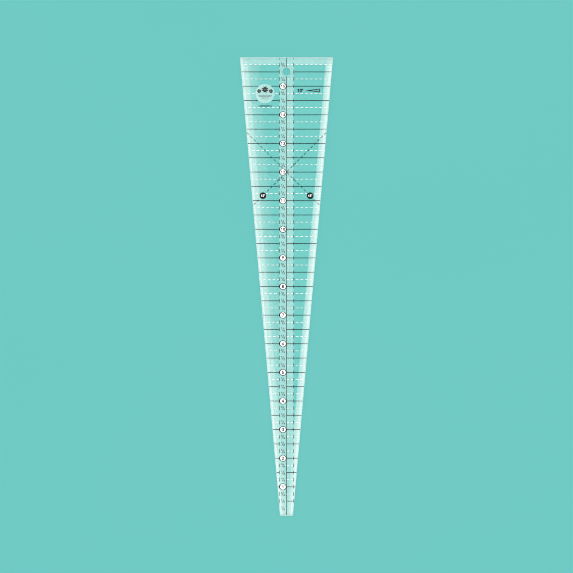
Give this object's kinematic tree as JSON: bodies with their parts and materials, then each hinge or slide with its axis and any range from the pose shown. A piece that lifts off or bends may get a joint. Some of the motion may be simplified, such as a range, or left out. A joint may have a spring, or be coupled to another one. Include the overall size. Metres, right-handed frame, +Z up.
{
  "type": "quilting ruler",
  "caption": "Clear acrylic wedge ruler for quilting, with frosted grip strips, half-inch lines, numbered discs, angle lines and a hang hole.",
  "frame": {"origin": "bottom centre of the ruler as it lies flat: on the centre line, halfway along, on the underside of the grip strips", "axes": "+Y along the ruler from the narrow end to the wide end, +X across it to the right with the figures upright, +Z up through its thickness to the face that is read"},
  "size_m": [0.0826, 0.4064, 0.0032],
  "materials": {
    "clear_acrylic": "clear cast sheet, glossy, edges cut and lightly polished",
    "grip_frost": "translucent frosted non-slip film",
    "black_ink": "screen-printed black ink",
    "white_ink": "screen-printed white ink",
    "pale_ink": "screen-printed pale translucent ink behind the emblem"
  },
  "bodies": {
    "root": {"acrylic_blade": "clear_acrylic", "grip_left_edge": "grip_frost", "grip_right_edge": "grip_frost", "grip_wide_end": "grip_frost", "grip_centre_strip": "grip_frost", "centre_line": "black_ink", "half_inch_lines": "black_ink", "seam_dashes_left": "black_ink", "seam_dashes_right": "black_ink", "quarter_inch_dashes_left": "white_ink", "quarter_inch_dashes_right": "white_ink", "angle_line_falling": "black_ink", "angle_line_rising": "black_ink", "inch_numerals": "black_ink", "number_discs": "white_ink", "number_rings": "black_ink", "fraction_marks": "black_ink", "angle_numerals": "white_ink", "angle_badges": "black_ink", "emblem_disc": "pale_ink", "emblem_stars": "black_ink", "emblem_ticks": "black_ink", "title_mark": "black_ink"}
  },
  "joints": []
}
